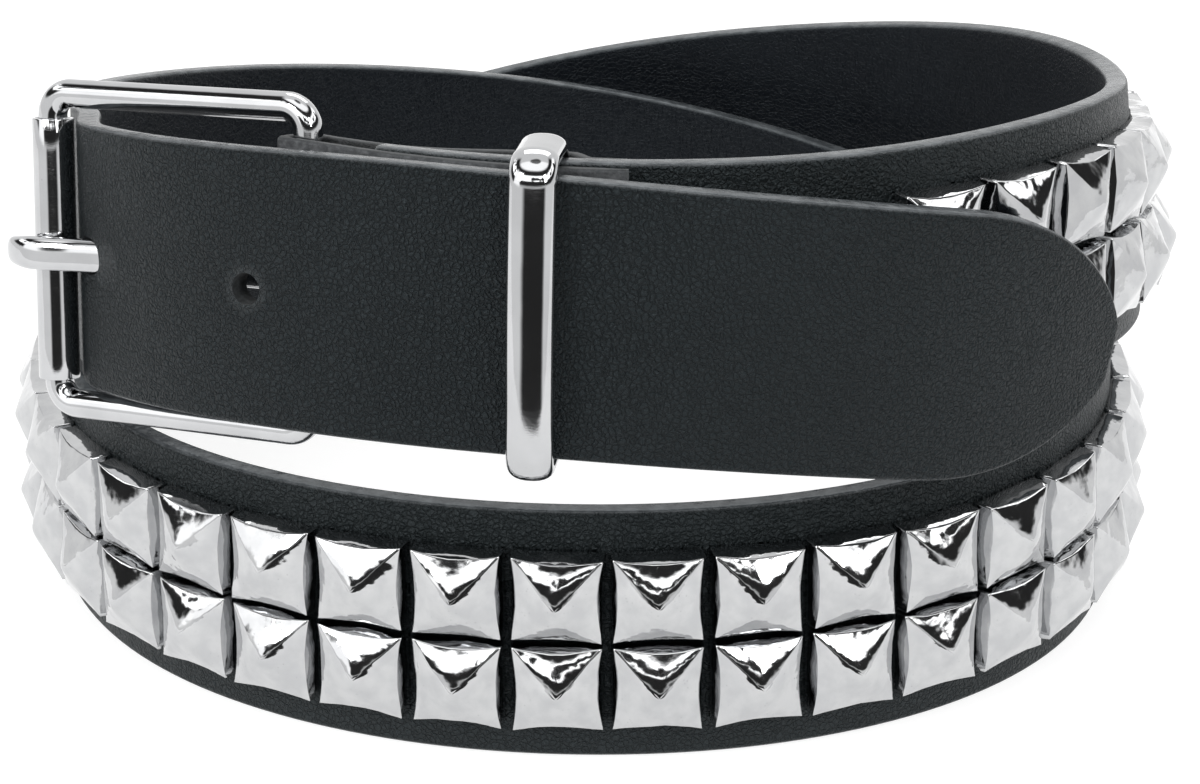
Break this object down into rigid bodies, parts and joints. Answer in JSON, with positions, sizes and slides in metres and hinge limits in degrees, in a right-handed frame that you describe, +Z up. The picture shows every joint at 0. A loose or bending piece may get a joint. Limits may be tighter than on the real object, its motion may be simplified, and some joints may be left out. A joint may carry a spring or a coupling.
{
  "type": "studded belt",
  "caption": "Leather belt with two rows of pyramid studs, fastened at a roller buckle and wound into a coil that stands on its long edge.",
  "frame": {"origin": "the middle of the coil's foot, on the surface it stands on", "axes": "+Z up, across the strap's width; -Y to the front, where the buckle is fastened; +X to the right, along the tip end"},
  "size_m": [0.1904, 0.1884, 0.0926],
  "materials": {
    "strap_leather": "smooth, fine-grained, semi-matt near-black with pale waxed edges",
    "chape_leather": "near-black outside with a grey, rough flesh side",
    "stud_metal": "bright nickel plate, pressed, a little wavy",
    "buckle_chrome": "polished",
    "rivet_metal": "plain nickel plate"
  },
  "bodies": {
    "root": {"strap": "strap_leather", "stud_row_upper": "stud_metal", "stud_row_lower": "stud_metal", "buckle_chape": "chape_leather", "buckle_frame": "buckle_chrome", "buckle_roller": "buckle_chrome", "buckle_prong": "buckle_chrome", "keeper": "buckle_chrome", "chape_rivet_1": "rivet_metal", "chape_rivet_2": "rivet_metal"}
  },
  "joints": []
}
